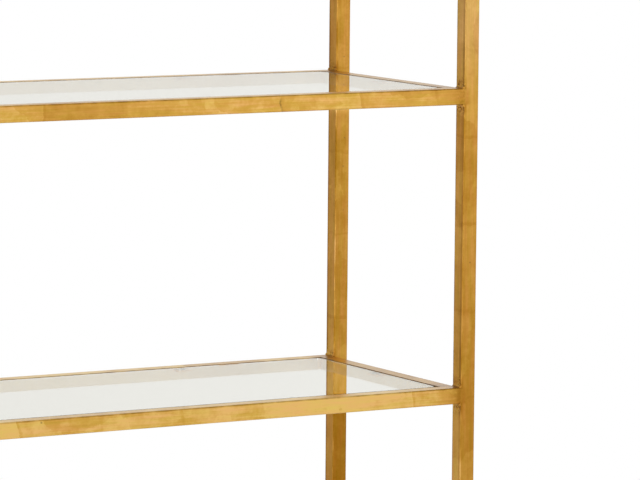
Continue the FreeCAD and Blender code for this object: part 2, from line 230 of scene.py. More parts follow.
class GildedSteel:
    """Gold leaf laid over bole on steel tube, then toned with amber lacquer.

    The leaf is metal, so it mirrors the room softly. Each leaf has its own tone, and here and there its lap
    shows as a broken line. The lacquer clouds and streaks it, and bole shows in specks. along is the axis
    that the tube runs on. joints is for the small pieces where tubes meet, which match the posts but are
    darker inside the frame. All is in millimetres, so the patterns run on from one piece to the next.
    """

    # The noises that have no direction: size in millimetres, detail and roughness.
    NOISES = {
        "wander": (45, 2, 0.5),
        "ragged": (6, 3, 0.5),
        "bent": (18, 3, 0.5),
        "clouds": (26, 4, 0.6),
        "mottle": (4.5, 5, 0.65),
        "blotch": (7, 4, 0.6),
        "broken": (8, 2, 0.5),
    }

    def __init__(self, name, along, leaf, joints=False):
        self.material, self.put, where = new_material(name)
        self.along, self.leaf, self.joints = along, leaf, joints
        self.find_places(where)
        self.find_patterns()
        self.lay_leaves()
        self.tone()
        self.grind_flush()
        self.darken_joints()
        self.wear_shade_and_highlight_edges()
        self.put("OutputMaterial", self.surface(self.colours()))

    def vary(self, value, noise, amount):
        """A value that a noise raises and lowers. A noise is 0.5 in its middle."""
        return self.put("Math.MULTIPLY_ADD", self.put("Math.SUBTRACT", noise, 0.5), amount, value)

    def find_places(self, where):
        """Finds where a point is on the frame, and on its own tube."""
        put = self.put
        self.mm = put("VectorMath.SCALE", where, 1 / MM)
        self.x, self.y, self.z = put("SeparateXYZ", self.mm).outputs
        self.upright = put("SeparateXYZ", put("NewGeometry").outputs["Normal"]).outputs[2]
        self.out_x, self.out_y = put("Math.ABSOLUTE", self.x), put("Math.ABSOLUTE", self.y)
        self.side_x, self.side_y = put("Math.SIGN", self.x), put("Math.SIGN", self.y)
        self.inner_face = put("MapRange", self.out_x, INSIDE + 0.2, INSIDE + 1.2, 1, 0)

        # Height over the nearest rail's centre line, how far above or below the rail that is, and its shelf.
        pitch = SHELF_PITCH / MM
        over_first = put("Math.SUBTRACT", self.z, (SHELF_TOP[1] - HALF_TUBE) / MM)
        self.over_rail = put("Math.WRAP", over_first, pitch / 2, -pitch / 2)
        self.off_line = put("Math.ABSOLUTE", self.over_rail)
        self.beyond = put("Math.SUBTRACT", self.off_line, HALF)
        self.level = put("Math.ROUND", put("Math.DIVIDE", over_first, pitch))
        if self.along != "Z":
            # Where a rail ends at the posts, and how far outwards of its own centre line a point is.
            self.meet, self.end, across, middle = {
                "X": (self.out_x, POST_X / MM, self.out_y, POST_Y / MM),
                "Y": (self.out_y, POST_Y / MM, self.out_x, SIDE_X / MM),
            }[self.along]
            self.outward = put("Math.SUBTRACT", across, middle)

    def find_patterns(self):
        """Adds the noises, and the torn patches that were laid over faults in the leaf."""
        put, mm = self.put, self.mm
        for name, (size, detail, roughness) in self.NOISES.items():
            setattr(self, name, put("TexNoise", mm, 1 / size, detail, roughness))

        # Brush streaks, and broad streaks in which the lacquer runs red or green: repeats in a millimetre
        # lengthwise and crosswise, detail and roughness.
        for name, lengthwise, crosswise, detail, roughness in (
            ("streaks", 0.009 if self.along == "Z" else 0.012, 0.4, 3, 0.6),
            ("cast", 0.014, 0.11, 2, 0.55),
        ):
            grain = [lengthwise if axis == self.along else crosswise for axis in "XYZ"]
            drawn = put("VectorMath.MULTIPLY", mm, grain)
            setattr(self, name, put("TexNoise", drawn, 1, detail, roughness))

        # The patches are 30 to 60 mm across, and longer along the tube.
        size, bend, stretch = 46, 14.0, 0.55
        laid = put("VectorMath.MULTIPLY", mm, [stretch if axis == self.along else 1 for axis in "XYZ"])
        laid = put("VectorMath.MULTIPLY_ADD", self.bent.outputs["Color"], (bend, bend, bend), laid)
        cells = put("TexVoronoi", laid, 1 / size)
        self.torn = put("SeparateXYZ", cells.outputs["Color"]).outputs[0]

    def lay_leaves(self):
        """Lays the leaves along the tube, a little askew and uneven, each lapped over the last."""
        put = self.put
        # How far along its tube a point is, and a number of its own for each tube.
        run, counted, per_count, sided, per_side, phase = {
            "X": (self.x, self.level, -0.272, self.side_y, 0.17, 0.572),
            "Y": (self.y, self.level, 0.31, self.side_x, 0.19, 0.2),
            "Z": (self.z, self.side_x, 0.2835, self.side_y, 0.2035, 0.779),
        }[self.along]
        tube = put("Math", put("Math.MULTIPLY", counted, per_count), put("Math.MULTIPLY", sided, per_side))

        slant = 0.0 if self.along == "Z" else 0.12
        drift = self.vary(put("Math.MULTIPLY", self.over_rail, slant), self.wander, 24.0)
        drift = self.vary(drift, self.ragged, 5.0)
        pitch, lap, soft = self.leaf.leaf_pitch / MM, self.leaf.lap_width / MM, 1.5
        turns = put("Math.DIVIDE", put("Math", run, drift), pitch)
        turns = put("Math", turns, put("Math.SUBTRACT", tube, phase))
        leaf_number, seam_number = put("Math.FLOOR", turns), put("Math.ROUND", turns)
        into = put("Math.MULTIPLY", put("Math.FRACT", turns), pitch)
        to_seam = put("Math.ABSOLUTE", put("Math.SUBTRACT", turns, seam_number))
        self.to_seam = put("Math.MULTIPLY", to_seam, pitch)
        self.lap = put(SMOOTH, into, lap - soft, lap + soft, 1, 0)

        # A number from 0 to 1 for each leaf, and another for each seam.
        kind, leaf_step = {"X": (48.07, 2.43), "Y": (2.9, 1.71), "Z": (160.92, 1.265)}[self.along]
        chances = []
        for counter, step, spread in ((leaf_number, leaf_step, 83.1), (seam_number, 2.37, 97.3)):
            turn = put("Math.MULTIPLY_ADD", counter, step, put("Math.MULTIPLY_ADD", tube, 7.3, kind))
            chances.append(put("Math.FRACT", put("Math.MULTIPLY", put("Math.SINE", turn), spread)))
        self.leaf_chance, self.seam_chance = chances

    def tone(self):
        """Tones the leaf with lacquer, and paints shade and light into the same tone. depth is 0 at the
        palest and 1 at the deepest.
        """
        put = self.put
        # On the posts a painted shade swells and fades over 1.6 m, more at the front: palest 1720 mm up,
        # where the light falls most, and darker below.
        palest, one_radian = 1720.0, 255.0
        painted_shade_swell = put("Math.COSINE", put("Math.DIVIDE", put("Math.SUBTRACT", self.z, palest), one_radian))
        swing = put("Math.MULTIPLY_ADD", self.side_y, 0.06, -0.07)
        even = put("Math.MULTIPLY_ADD", self.side_y, 0.03, 0.46)
        self.painted_post_shade_and_tone = put("Math.MULTIPLY_ADD", painted_shade_swell, swing, even)
        depth = self.post_tone() if self.along == "Z" else self.rail_tone()
        for noise, amount in (
            (self.leaf_chance, 0.3 if self.along == "X" else 0.2),
            (self.torn, 0.16),
            (self.clouds, 0.42),
            (self.streaks, 0.36),
            (self.cast, -0.3),
            (self.mottle, 0.24),
        ):
            depth = self.vary(depth, noise, amount)
        # It is deeper on laps, on what faces up, and on the leaves that took the lacquer heavily.
        for layer, amount in (
            (self.lap, 0.08),
            (put("MapRange", self.upright, *FACING_UP), 0.3 if self.along == "Y" else 0.05),
            (put(SMOOTH, self.leaf_chance, 0.82, 0.96), 0.28 if self.along == "Z" else 0.1),
        ):
            depth = put("Math.MULTIPLY_ADD", layer, amount, depth)
        self.depth = depth

    def post_tone(self):
        """How deep a post is toned, before its patterns."""
        put, z, side_y, over_rail = self.put, self.z, self.side_y, self.over_rail
        # The faces inside the frame are painted paler lower down, and palest below the third shelf: painted
        # light from the floor.
        painted_floor_light = put(SMOOTH, z, 1450, 1250, 0, -0.09)
        painted_floor_light_low = put(SMOOTH, z, 1120, 1010, 0, -0.2)
        more_behind = put("Math.MULTIPLY_ADD", side_y, 0.2, 1)
        painted_floor_light = put("Math.MULTIPLY_ADD", painted_floor_light_low, more_behind, painted_floor_light)
        depth = put("Math.MULTIPLY_ADD", self.inner_face, painted_floor_light, self.painted_post_shade_and_tone)
        # Painted light makes the back posts paler for 40 mm under each rail.
        painted_light_under_rail = put(SMOOTH, over_rail, -62, -48)
        painted_light_under_rail = put("Math.MULTIPLY", painted_light_under_rail, put("MapRange", over_rail, -16, -8, 1, 0))
        only_behind = put("Math.MULTIPLY_ADD", side_y, -0.15, -0.15)
        return put("Math.MULTIPLY_ADD", painted_light_under_rail, only_behind, depth)

    def rail_tone(self):
        """How deep a rail is toned before its patterns: more on every second shelf, and near its posts."""
        put = self.put
        second = put("Math.PINGPONG", self.level, 1)
        between = put("Math.MULTIPLY_ADD", second, 0.12, 0.08)
        # Near its posts a rail takes the posts' tone, with their painted shade by height.
        at_post = put("Math.MULTIPLY_ADD", self.painted_post_shade_and_tone, 0.65, 0.17)
        near = put(SMOOTH, self.meet, self.end - 70, self.end - 8)
        return put("Mix", near, between, at_post)

    def grind_flush(self):
        """Where a long rail was ground flush with its post, runs the tone across both without a line."""
        put = self.put
        from_joint = put("Math.ABSOLUTE", put("Math.SUBTRACT", self.out_x, INSIDE + 2))
        from_joint = self.vary(from_joint, self.blotch, 9.0)
        ground = put(SMOOTH, from_joint, 3, 12, 1, 0)
        level_with = put(SMOOTH, self.off_line, HALF - 3, HALF + 3, 1, 0)
        self.ground = put("Math.MULTIPLY", ground, level_with)
        # The smear carries the posts' painted shade by height across the joint.
        smeared = put("Math", self.painted_post_shade_and_tone, 0.13)
        for noise, amount in ((self.clouds, 0.5), (self.mottle, 0.24), (self.blotch, 0.3)):
            smeared = self.vary(smeared, noise, amount)
        self.depth = put("Mix", self.ground, self.depth, smeared)

    def darken_joints(self):
        """Darkens the joints inside the frame, as heat and handling have, and on the posts adds painted shade
        beside the welds.
        """
        put = self.put
        if self.joints:
            inside = put("MapRange", self.out_y, FRONT - 1.2, FRONT - 0.4, 1, 0)
            self.joint = put("Math.MULTIPLY", inside, 0.16)
        elif self.along == "Z":
            self.joint = self.darken_post()
        else:
            self.joint = put(SMOOTH, self.meet, self.end - 34, self.end - 16, 0, 0.2)
        patches = put(SMOOTH, self.blotch, 0.36, 0.6)
        self.stain_and_painted_shade = put("Math.MULTIPLY", self.joint, patches)

    def darken_post(self):
        """Changes a post's tone at the rails, and returns how dark its joints are."""
        put, over_rail = self.put, self.over_rail
        # The inner face darkens over the last 20 mm under a rail and 9 mm over it, but for pale flecks.
        reach = put("Math.MULTIPLY_ADD", put("Math.SIGN", over_rail), -6, 15)
        ragged_edge = self.vary(self.beyond, self.blotch, -22.0)
        close = put(SMOOTH, ragged_edge, 1, reach, 1, 0)
        close = put("Math.MULTIPLY", close, self.inner_face)
        flecks = put("Math.MULTIPLY", close, put(SMOOTH, self.blotch, 0.52, 0.38))
        depth = put("Math.MULTIPLY_ADD", flecks, -0.4, self.depth)
        # The lacquer ran down beside its edges in a deep amber line 4 mm wide, heavier for 60 mm over a rail.
        from_line = put("Math.ABSOLUTE", put("Math.SUBTRACT", self.out_y, FRONT - 3.8))
        line = put(SMOOTH, from_line, 1.2, 3, 1, 0)
        heavier = put(SMOOTH, over_rail, HALF + 40, HALF + 90, 1, 0)
        heavier = put("Math.MULTIPLY", heavier, put("Math.GREATER_THAN", over_rail, 0))
        line = put("Math.MULTIPLY", line, put("Math.MULTIPLY_ADD", heavier, 0.35, 0.25))
        line = put("Math.MULTIPLY", line, self.inner_face)
        depth = put("Math.MULTIPLY_ADD", line, put("Math", self.clouds, 0.35), depth)
        # On the front face the tone deepens towards the weld: painted shade that dims the rounded corner's
        # highlight at the joint.
        inwards = put(SMOOTH, self.out_x, INSIDE, INSIDE + 6, 1, 0)
        inwards = put("Math.MULTIPLY", inwards, put("Math.MULTIPLY_ADD", self.inner_face, -1, 1))
        painted_shade_at_weld = put(SMOOTH, ragged_edge, 4, 24, 0.36, 0)
        painted_shade_at_weld = put("Math.MULTIPLY", painted_shade_at_weld, put("MapRange", self.beyond, -3, 1))
        self.depth = put("Math.MULTIPLY_ADD", inwards, painted_shade_at_weld, depth)
        return put("Math.MULTIPLY", close, 0.5)

    def wear_shade_and_highlight_edges(self):
        """Wears and stains the tubes' edges, with painted highlights and shade among the wear."""
        if self.along != "Z":
            self.stain_and_shade_rail()
        elif not self.joints:
            self.wear_and_highlight_post()
        self.depth = self.put("Math.MULTIPLY_ADD", self.stain_and_painted_shade, 0.4, self.depth, use_clamp=True)

    def stain_and_shade_rail(self):
        """Leaves patina and painted shade along a rail's upper edges, in a line 2 mm wide, and more beside
        the glass, where it paints the shadow in the gap.
        """
        put = self.put
        edge = put("MapRange", put("Math.ABSOLUTE", self.outward), HALF - 2.6, HALF - 1.3)
        for fade in (
            put("MapRange", self.over_rail, HALF - 2.4, HALF - 1.5),
            put("MapRange", self.clouds, 0.35, 0.6, 0.4, 1),
            put("MapRange", self.outward, -HALF, HALF, 1, 0.45),
        ):
            edge = put("Math.MULTIPLY", edge, fade)
        self.stain_and_painted_shade = put("Math.MAXIMUM", self.stain_and_painted_shade, edge)

    def wear_and_highlight_post(self):
        """Rubs a post's front edges paler here and there, as wear and a painted highlight, and leaves patina
        on its rear edges.
        """
        put = self.put
        in_x = put("Math.ABSOLUTE", put("Math.SUBTRACT", self.out_x, POST_X / MM))
        to_back = put("Math.MULTIPLY_ADD", self.side_y, -POST_Y / MM, self.y)
        to_front = put("Math.MULTIPLY", to_back, -1)
        # The joints are spared, and the back posts get the most wear and painted highlight.
        rubbed_and_highlit = put("MapRange", put("Math.MINIMUM", in_x, to_front), HALF - 1.9, HALF - 1)
        rubbed_and_highlit = put("Math.MULTIPLY", rubbed_and_highlit, put("MapRange", self.beyond, 14, 26))
        rubbed_and_highlit = put("Math.MULTIPLY", rubbed_and_highlit, put("MapRange", self.cast, 0.4, 0.6, -1, 1))
        paler = put("Math.MULTIPLY_ADD", self.side_y, -0.06, -0.26)
        self.depth = put("Math.MULTIPLY_ADD", rubbed_and_highlit, paler, self.depth)
        kept_back = put("MapRange", put("Math.MINIMUM", in_x, to_back), HALF - 2.9, HALF - 1.6)
        kept_back = put("Math.MULTIPLY", kept_back, put("MapRange", self.clouds, 0.35, 0.55, 0.25, 0.85))
        self.stain_and_painted_shade = put("Math.MAXIMUM", self.stain_and_painted_shade, kept_back)

    def colours(self):
        """The toned leaf's colours, with its cracks and what lies over the leaf and under it."""
        put, leaf = self.put, self.leaf
        stops = ((0.0, leaf.pale), (0.2, leaf.gold), (0.55, leaf.amber), (1.0, leaf.deep))
        toned = put("ValToRGB", self.depth, stops=stops)
        redder = put("MapRange", self.cast, 0.35, 0.65)
        redder = put("Math.MULTIPLY", redder, put("MapRange", self.upright, *FACING_UP, 1, 0.1))
        tint = put("Mix.RGBA", redder, rgba(leaf.olive), rgba(leaf.rose))
        toned = put("Mix.RGBA", 1, toned, tint, blend_type="MULTIPLY")

        # Some laps are torn open, in a dark and broken line about 4 mm wide.
        open_seam = put("MapRange", self.seam_chance, 0.7, 0.82)
        crack = put(SMOOTH, self.to_seam, 0.4, 3.4, 1, 0)
        crack = put("Math.MULTIPLY", crack, put("MapRange", self.broken, 0.4, 0.62))
        crack = put("Math.MULTIPLY", crack, open_seam)
        crack = put("Math.MULTIPLY", crack, 0 if self.joints else 0.58)
        # Patina, the painted shade along the rails' edges, and open cracks all take the patina colour.
        worn_and_shaded = put("Math.MAXIMUM", put("Math.MULTIPLY", self.stain_and_painted_shade, 0.8), crack)
        worn_and_shaded = put("Mix.RGBA", worn_and_shaded, toned, rgba(leaf.patina))

        if self.along == "Z":
            # A painted sheen makes the upper part of the front posts paler.
            sheen_and_paint = put(SMOOTH, self.z, 1490, 1650, 0, 0.12)
            sheen_and_paint = put("Math.MULTIPLY", sheen_and_paint, put("Math.LESS_THAN", self.side_y, 0))
        else:
            # No leaf is laid on the faces round the glass: they are sprayed with pale gold paint.
            sheen_and_paint = put("MapRange", self.outward, 0.3 - HALF, 1.2 - HALF, 1, 0)
            below_edge = put("MapRange", self.over_rail, HALF - 1.9, HALF - 1, 0.7, 0)
            sheen_and_paint = put("Math.MULTIPLY", sheen_and_paint, below_edge)
        sheened_and_painted = put("Mix.RGBA", sheen_and_paint, worn_and_shaded, rgba(leaf.paint))

        # Bole shows in specks of up to 3 mm, one in every third or fourth patch of 19 mm.
        cells = put("TexVoronoi", self.mm, 1 / 19)
        chosen, size, _ = put("SeparateXYZ", cells.outputs["Color"]).outputs
        rim = put("Math.MULTIPLY_ADD", size, -0.08, cells.outputs["Distance"])
        speck = put(SMOOTH, rim, -0.02, 0.03, 1, 0)
        speck = put("Math.MULTIPLY", speck, put("Math.GREATER_THAN", chosen, 0.7))
        self.bare = put("Math.MULTIPLY", speck, 0.5)
        return put("Mix.RGBA", self.bare, sheened_and_painted, rgba(leaf.bole))

    def surface(self, colours):
        """The shader: how the leaf and the lacquer over it stand proud and shine."""
        put = self.put
        # Crumpled leaf and brushed lacquer stand about a tenth of a millimetre proud, and the joints more.
        relief = put("Math.MULTIPLY", put("Mix", self.ground, self.streaks, 0.5), 0.05)
        spatter = put("Math.MULTIPLY", self.joint, self.blotch)
        for layer, height in ((self.mottle, 0.1), (self.lap, 0.04), (spatter, 1.0)):
            relief = put("Math.MULTIPLY_ADD", layer, height, relief)
        rough = put("Math.MULTIPLY_ADD", self.stain_and_painted_shade, 0.15, 0.26)
        for layer, amount in ((self.clouds, 0.16), (self.bare, 0.3)):
            rough = put("Math.MULTIPLY_ADD", layer, amount, rough)
        # The lacquer levels and stays thick on what faces up, and thins on what stands.
        lacquer = put("MapRange", self.upright, *FACING_UP, 0.08, 0.5)
        sockets = {
            "Base Color": colours,
            "Metallic": put("Math.MULTIPLY_ADD", self.bare, -0.6, 1),
            "Roughness": rough,
            "Normal": put("Bump", sockets={"Strength": 0.75, "Distance": MM, "Height": relief}),
            "Coat Weight": lacquer,
            "Coat Roughness": 0.25,
        }
        return put("BsdfPrincipled", sockets=sockets)


def float_glass(glass):
    """Clear float glass 6 mm thick with ground and polished edges: colourless across, green along.

    Hand smears some 110 mm across make its shine very slightly uneven.
    """
    material, put, where = new_material("clear_float_glass")
    smears = put("TexNoise", where, 9, 3)
    rough = put("Math.MULTIPLY", smears, 0.012)
    body = put("BsdfPrincipled", WHITE, sockets={"Roughness": rough, "IOR": 1.52, "Transmission Weight": 1.0})
    # Light that falls through the pane isn't held back as a caustic, so the floor keeps a faint even shadow.
    through = put("BsdfTransparent", (0.9, 0.93, 0.91, 1))
    path = put("LightPath")
    mixed = put("MixShader", path.outputs["Is Shadow Ray"], body, through)
    put("OutputMaterial", mixed, put("VolumeAbsorption", rgba(glass.tint), glass.density))
    return material


def zinc_plated_steel(foot):
    """Rolled and zinc-plated steel: a cool metal, slightly cloudy in spots of 2 to 3 mm."""
    material, put, where = new_material("zinc_plated_steel")
    spangle = put("TexNoise", where, 420, 4)
    dim = rgba([0.72 * c for c in foot.steel])
    tone = put("Mix.RGBA", spangle, dim, rgba(foot.steel))
    rough = put("Math.MULTIPLY_ADD", spangle, 0.2, 0.24)
    surface = put("BsdfPrincipled", sockets={"Base Color": tone, "Metallic": 1.0, "Roughness": rough})
    put("OutputMaterial", surface)
    return material


def moulded_nylon(foot):
    """Black nylon from a spark-eroded mould: dull, with a grain of half a millimetre and grey scuffs."""
    material, put, where = new_material("moulded_black_nylon")
    grain = put("TexNoise", where, 1800, 3)
    scuffs = put("TexNoise", where, 160, 5)
    scuffed = rgba([2.2 * c for c in foot.nylon])
    tone = put("Mix.RGBA", scuffs, rgba(foot.nylon), scuffed)
    rough = put("Math.MULTIPLY_ADD", scuffs, 0.25, 0.42)
    bump = put("Bump", sockets={"Strength": 0.5, "Distance": 0.05 * MM, "Height": grain})
    surface = put("BsdfPrincipled", sockets={"Base Color": tone, "Roughness": rough, "Normal": bump})
    put("OutputMaterial", surface)
    return material


def clear_vinyl(foot):
    """Soft clear vinyl: slightly rough and milky in spots of 1 to 2 mm, and light passes through it."""
    material, put, where = new_material("clear_soft_vinyl")
    haze = put("TexNoise", where, 700, 3)
    rough = put("Math.MULTIPLY_ADD", haze, 0.2, 0.22)
    sockets = {"Roughness": rough, "IOR": 1.53, "Transmission Weight": 0.8}
    surface = put("BsdfPrincipled", rgba(foot.vinyl), sockets=sockets)
    put("OutputMaterial", surface)
    return material


def dress(names, material):
    """Puts a material on CAD nodes, in place of their plain one."""
    for name in names:
        NODES[name].data.materials.clear()
        NODES[name].data.materials.append(material)


# ---- modelling helpers


def select_only(*objects):
    """In object mode, leaves nothing but these selected, and the first active."""
    if bpy.context.object and bpy.context.object.mode != "OBJECT":
        bpy.ops.object.mode_set(mode="OBJECT")
    bpy.ops.object.select_all(action="DESELECT")
    for shown in objects:
        shown.select_set(True)
    if objects:
        bpy.context.view_layer.objects.active = objects[0]


def start_from(primitive_add, **settings):
    """Adds a primitive with nothing else selected, applies its place, and opens it in edit mode."""
    select_only()
    primitive_add(**settings)
    bpy.ops.object.transform_apply()
    bpy.ops.object.mode_set(mode="EDIT")
    return bpy.context.view_layer.objects.active


def turn_outwards():
    """In edit mode, turns all the faces of a closed shell outwards, and goes back to object mode."""
    bpy.ops.mesh.select_all(action="SELECT")
    bpy.ops.mesh.normals_make_consistent()
    bpy.ops.object.mode_set(mode="OBJECT")


def settle(piece, name, material, body):
    """Applies a piece's place to its mesh, names it, and makes it ride on its body."""
    select_only(piece)
    bpy.ops.object.transform_apply()
    piece.name = piece.data.name = name
    piece.data.materials.clear()
    piece.data.materials.append(material)
    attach(piece, body)


def apply_modifier(piece, kind, **settings):
    """Adds a modifier and applies it."""
    select_only(piece)
    modifier = piece.modifiers.new(kind.title(), kind)
    for key, value in settings.items():
        if key == "axes":
            for k in range(3):
                modifier.use_axis[k] = value[k]
        else:
            setattr(modifier, key, value)
    bpy.ops.object.modifier_apply(modifier=modifier.name)


def pick(piece, mode, test):
    """In edit mode, selects the vertices, edges or faces whose place passes the test."""
    bpy.ops.object.mode_set(mode="OBJECT")
    mesh = piece.data
    for group in (mesh.vertices, mesh.edges, mesh.polygons):
        for item in group:
            item.select = False
    for item in {"VERT": mesh.vertices, "EDGE": mesh.edges, "FACE": mesh.polygons}[mode]:
        if mode == "VERT":
            centre = item.co
        elif mode == "FACE":
            centre = item.center
        else:
            centre = (mesh.vertices[item.vertices[0]].co + mesh.vertices[item.vertices[1]].co) / 2
        item.select = test(item, centre)
    bpy.ops.object.mode_set(mode="EDIT")
    bpy.ops.mesh.select_mode(type=mode)


# ---- operators


class ETAGERE_OT_gild_tubes(bpy.types.Operator):
    """Gilds the posts, rails, caps, tabs and weld fillets"""

    bl_idname = "etagere.gild_tubes"
    bl_label = "Gild the tubes"

    def execute(self, context):
        leaf = context.scene.etagere_leaf
        posts = GildedSteel("gold_leaf_posts", "Z", leaf).material
        long_rails = GildedSteel("gold_leaf_long_rails", "X", leaf).material
        side_rails = GildedSteel("gold_leaf_side_rails", "Y", leaf).material
        small = GildedSteel("gold_leaf_joints", "Z", leaf, joints=True).material
        dress([f"post_{c}" for c in CORNERS], posts)
        dress([f"post_cap_{c}" for c in CORNERS], small)
        for k in SHELVES:
            dress([f"shelf_{k}_front_rail", f"shelf_{k}_back_rail"], long_rails)
            dress([f"shelf_{k}_left_rail", f"shelf_{k}_right_rail"], side_rails)
            dress([f"shelf_{k}_welds", f"shelf_{k}_glass_tabs"], small)
        return {"FINISHED"}


class ETAGERE_OT_lay_beads(bpy.types.Operator):
    """Lays rippled weld beads and tacks on each shelf: one quarter is modelled, and mirrored to the others"""

    bl_idname = "etagere.lay_beads"
    bl_label = "Lay the weld beads"

    def execute(self, context):
        weld = context.scene.etagere_weld
        material = bpy.data.materials["gold_leaf_joints"]
        for k in SHELVES:
            lumps = self.quarter(weld, SHELF_TOP[k], k < len(SHELVES), random.Random(40 + k))
            select_only(*lumps)
            bpy.ops.object.join()
            beads = context.object
            bpy.ops.object.transform_apply()
            apply_modifier(beads, "MIRROR", axes=(True, True, False))
            apply_modifier(beads, "REMESH", mode="VOXEL", voxel_size=weld.voxel)
            apply_modifier(beads, "SMOOTH", factor=0.5, iterations=3)
            bpy.ops.object.shade_smooth()
            settle(beads, f"shelf_{k}_weld_beads", material, "frame")
        return {"FINISHED"}

    def quarter(self, weld, top, lay_over, chance):
        """The lumps of the right front corner's beads, and of the tacks under the tabs next to it."""
        post_x, post_y = POST_X - HALF_TUBE, POST_Y - HALF_TUBE
        front, inside_x = POST_Y + HALF_TUBE, SIDE_X - HALF_TUBE
        low = top - 2 * HALF_TUBE
        leg = weld.leg
        lumps = []
        select_only()

        def lay(start, end, thick, wide, step, thin_out=1.0):
            """Lays lumps from start to end. thick and wide are their half sizes off the face and along it."""
            start, end = Vector(start), Vector(end)
            count = round((end - start).length / step)
            for n in range(count + 1):
                done = n / max(1, count)
                spread = Vector([chance.uniform(-0.35, 0.35) * MM for _ in range(3)])
                size = chance.uniform(0.85, 1.12) * (1 + (thin_out - 1) * done)
                half = Vector([size * v for v in (thick, wide, max(thick, wide))])
                place = start.lerp(end, done) + spread
                place.y = max(place.y, half.y - front + 0.1 * MM)
                place.z = min(place.z, CAD_BOX[1][2] - half.z - 0.1 * MM)
                bpy.ops.mesh.primitive_ico_sphere_add(subdivisions=2, radius=1, location=place, scale=half)
                lumps.append(bpy.context.object)

        def spatter(near_z, far_z, count):
            """Scatters flat lumps over the post's inner face, thinning out away from the joint."""
            for _ in range(count):
                out = chance.random() ** 1.6
                radius = chance.uniform(0.2, 0.5) * leg * (1 - 0.45 * out)
                at_y = chance.uniform(0, 1) ** 1.2 * (1 - 0.5 * out)
                place = (post_x, near + at_y * (far - near), near_z + out * (far_z - near_z))
                lay(place, place, 0.3 * radius, radius, leg)

        # Under the long rail and over it, on the post's inner face, thinning towards the back.
        near, far = -front + 0.5 * leg, -post_y - 0.75 * leg
        start = (post_x - 0.1 * leg, near, low - 0.3 * leg)
        end = (post_x + 0.02 * leg, far, low - 0.2 * leg)
        lay(start, end, 0.36 * leg, 0.56 * leg, weld.ripple, thin_out=0.55)
        spatter(low - 0.8 * leg, low - 2.9 * leg, 16)
        if lay_over:
            start = (post_x - 0.08 * leg, near, top + 0.25 * leg)
            end = (post_x + 0.02 * leg, far, top + 0.15 * leg)
            lay(start, end, 0.34 * leg, 0.52 * leg, weld.ripple, thin_out=0.5)
            spatter(top + 0.7 * leg, top + 3.3 * leg, 22)
        # Down the corner between the side rail and the post, and inside the frame to the tabs' height.
        behind, foot = -post_y + 0.1 * leg, low + 0.5 * leg
        for at_x, head, half in (
            (post_x + 0.1 * leg, top - 0.6 * leg, 0.44 * leg),
            (inside_x - 0.1 * leg, top - 11 * MM, 0.42 * leg),
        ):
            lay((at_x, behind, foot), (at_x, behind, head), half, half, weld.ripple)
        # The ends of the ground joint on the front face.
        lump, step, in_from_end = 1.4 * MM, 0.9 * MM, 1.1 * MM
        for high in (low + in_from_end, top - in_from_end):
            lay((post_x - 0.6 * MM, -front, high), (post_x + 1.5 * MM, -front, high), lump, lump, step)
        # A tack at each end of a tab's root, on its underside, and one under the side rail's tab.
        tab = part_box("shelf_1_glass_tabs")[0].z - SHELF_TOP[1] + top - 0.06 * leg
        long, root_y, root_x = 2 * MM, -post_y + 0.08 * leg, inside_x - 0.08 * leg
        for across in (-8 * MM, 8 * MM):
            at_x = TAB_X + across
            lay((at_x, root_y, tab), (at_x + long, root_y, tab), 0.3 * leg, 0.26 * leg, long)
        lay((root_x, -9 * MM, tab), (root_x, -7 * MM, tab), 0.26 * leg, 0.3 * leg, long)
        return lumps


class ETAGERE_OT_glaze_shelves(bpy.types.Operator):
    """Glazes the shelves, and makes the bumpers under the glass clear"""

    bl_idname = "etagere.glaze_shelves"
    bl_label = "Glaze the shelves"

    def execute(self, context):
        dress([f"shelf_{k}_glass" for k in SHELVES], float_glass(context.scene.etagere_glass))
        dress(["glass_bumpers"], clear_vinyl(context.scene.etagere_foot))
        return {"FINISHED"}


